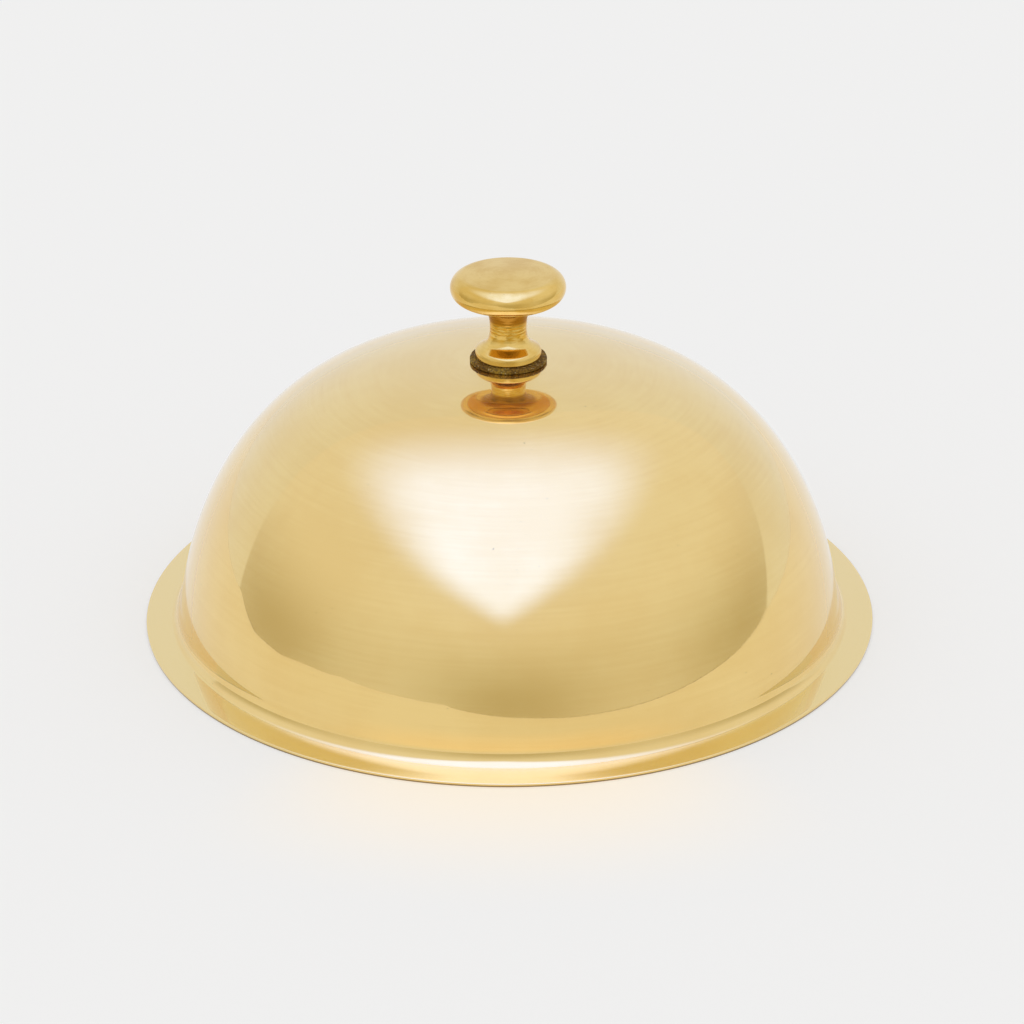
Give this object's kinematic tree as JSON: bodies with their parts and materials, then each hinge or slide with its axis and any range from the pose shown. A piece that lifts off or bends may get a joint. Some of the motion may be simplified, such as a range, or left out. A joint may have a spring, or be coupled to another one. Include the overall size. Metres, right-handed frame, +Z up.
{
  "type": "dish cover",
  "caption": "Polished brass dish cover: a spun dome with an outward rim and a turned mushroom knob, fastened through the crown.",
  "frame": {"origin": "centre of the circle that the rim rests on, at the table's surface", "axes": "+Z up along the dome's axis, through the knob; the dome is round, so X and Y are any two level directions"},
  "size_m": [0.25, 0.25, 0.1238],
  "materials": {
    "polished_brass": "mirror polished sheet, with faint spinning marks and small stains",
    "turned_brass": "polished, with fine turning lines on the neck and foot",
    "plain_brass": "machined, slightly dull",
    "leather": "dark, oiled, with a rough cut edge",
    "spring_steel": "plain spring steel"
  },
  "bodies": {
    "root": {"dome_shell": "polished_brass", "knob": "turned_brass", "knob_washer": "leather", "stud": "plain_brass", "inner_pad": "leather", "inner_washer": "plain_brass", "lock_washer": "spring_steel", "cap_nut": "plain_brass"}
  },
  "joints": []
}
